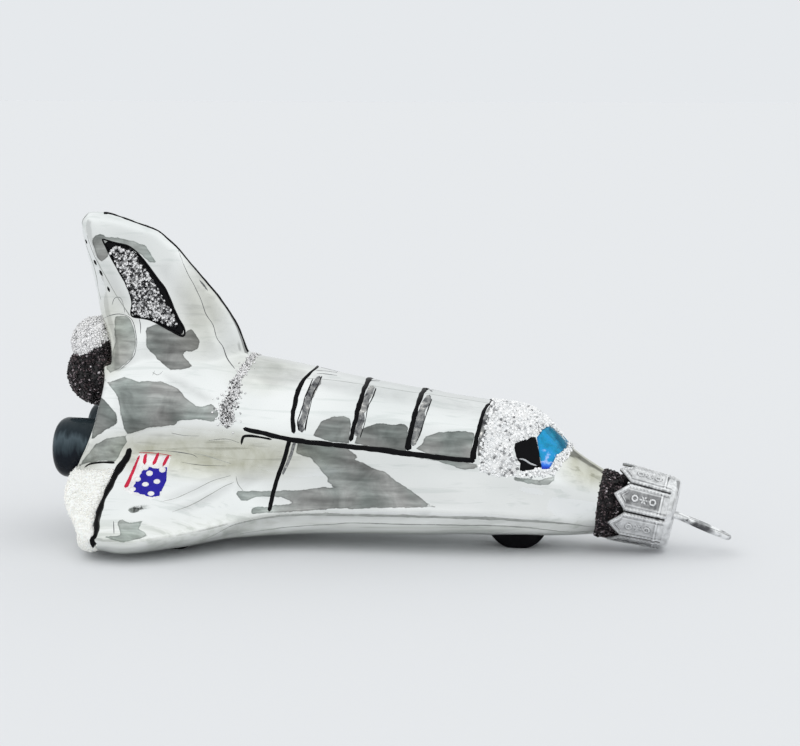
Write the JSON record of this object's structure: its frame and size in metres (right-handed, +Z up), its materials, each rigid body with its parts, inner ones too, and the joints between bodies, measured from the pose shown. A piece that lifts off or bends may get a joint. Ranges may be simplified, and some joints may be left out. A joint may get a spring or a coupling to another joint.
{
  "type": "blown glass space shuttle ornament",
  "caption": "Silvered blown glass space shuttle on moulded wheels, with glitter and frost coats, a stamped crown cap that pulls off its neck, and a wire hanger loop.",
  "frame": {"origin": "middle of the object's box, on the floor under its wheels", "axes": "+X from the tail to the nose and hanger, +Y to the shuttle's port side, +Z up"},
  "size_m": [0.1075, 0.0516, 0.052],
  "materials": {
    "silvered_glass": "silvered inside, slightly wavy, warm tinted in places",
    "navy_paint": "satin navy paint on glass",
    "black_paint": "gloss black paint on glass",
    "black_glitter": "fine black glitter in glue",
    "silver_glitter": "fine silver glitter in glue",
    "white_beads": "clear and white glass beads in glue",
    "cream_frost": "off-white crystal frost",
    "stamped_silver": "bright stamped foil with an embossed pattern",
    "steel_wire": "bright drawn wire"
  },
  "bodies": {
    "glass": {"glass_body": "silvered_glass", "glass_neck": "silvered_glass", "engine_bell_right": "navy_paint", "engine_bell_left": "navy_paint", "engine_bell_top": "black_glitter", "tail_dome": "silver_glitter", "nose_wheel": "black_paint", "main_wheel_right": "black_paint", "main_wheel_left": "black_paint", "cockpit_glitter": "white_beads", "shoulder_glitter": "silver_glitter", "neck_glitter": "black_glitter", "fin_panel_right": "silver_glitter", "fin_panel_left": "silver_glitter", "elevon_frost_right": "cream_frost", "elevon_frost_left": "cream_frost"},
    "cap": {"cap": "stamped_silver"},
    "hanger": {"hanger": "steel_wire"}
  },
  "joints": [
    {"name": "cap_pull", "type": "slide", "parent": "glass", "child": "cap", "axis": [0.9799, 0, -0.1994], "range_m": [0, 0.014]},
    {"name": "hanger_slide", "type": "slide", "parent": "cap", "child": "hanger", "axis": [0.9799, 0, -0.1994], "range_m": [0, 0.003]}
  ]
}
